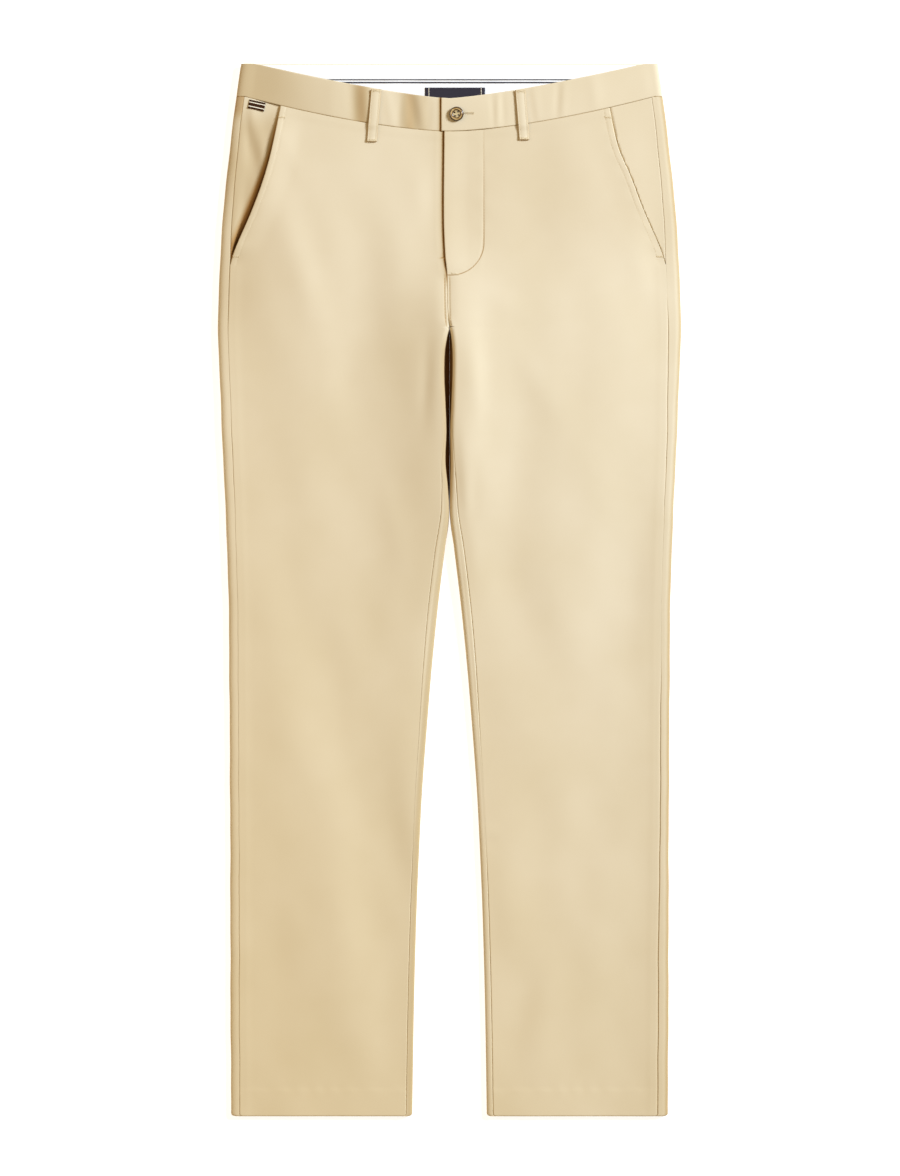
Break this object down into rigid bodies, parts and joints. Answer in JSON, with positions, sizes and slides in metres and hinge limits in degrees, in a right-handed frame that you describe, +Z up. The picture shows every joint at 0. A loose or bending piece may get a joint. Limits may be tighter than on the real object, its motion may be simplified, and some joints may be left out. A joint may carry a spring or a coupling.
{
  "type": "chino trousers",
  "caption": "Flat-front twill chino trousers laid on their back, with slant pockets, belt loops, a buttoned waistband over a fly front and straight plain-hemmed legs.",
  "frame": {"origin": "on the surface the trousers lie on, under the centre of their box", "axes": "+X towards the wearer's left, +Y along the trousers towards the waist, +Z up from the surface"},
  "size_m": [0.4796, 1.09, 0.0196],
  "materials": {
    "twill": "sand-coloured cotton twill, matt",
    "lining": "white cotton poplin",
    "piping": "dark navy woven tape",
    "label": "dark navy woven label, blank",
    "tab": "dark brown woven tape with cream lines",
    "button": "horn-effect resin, polished"
  },
  "bodies": {
    "root": {"left_front": "twill", "right_front": "twill", "left_back": "twill", "right_back": "twill", "left_pocket_facing": "twill", "right_pocket_facing": "twill", "waistband_left": "twill", "waistband_right": "twill", "belt_loop_front_left": "twill", "belt_loop_front_right": "twill", "belt_loop_back_left": "twill", "belt_loop_back_centre": "twill", "belt_loop_back_right": "twill", "waistband_lining": "lining", "lining_piping_upper": "piping", "lining_piping_lower": "piping", "waist_label": "label", "side_tab": "tab", "waist_button": "button"}
  },
  "joints": []
}
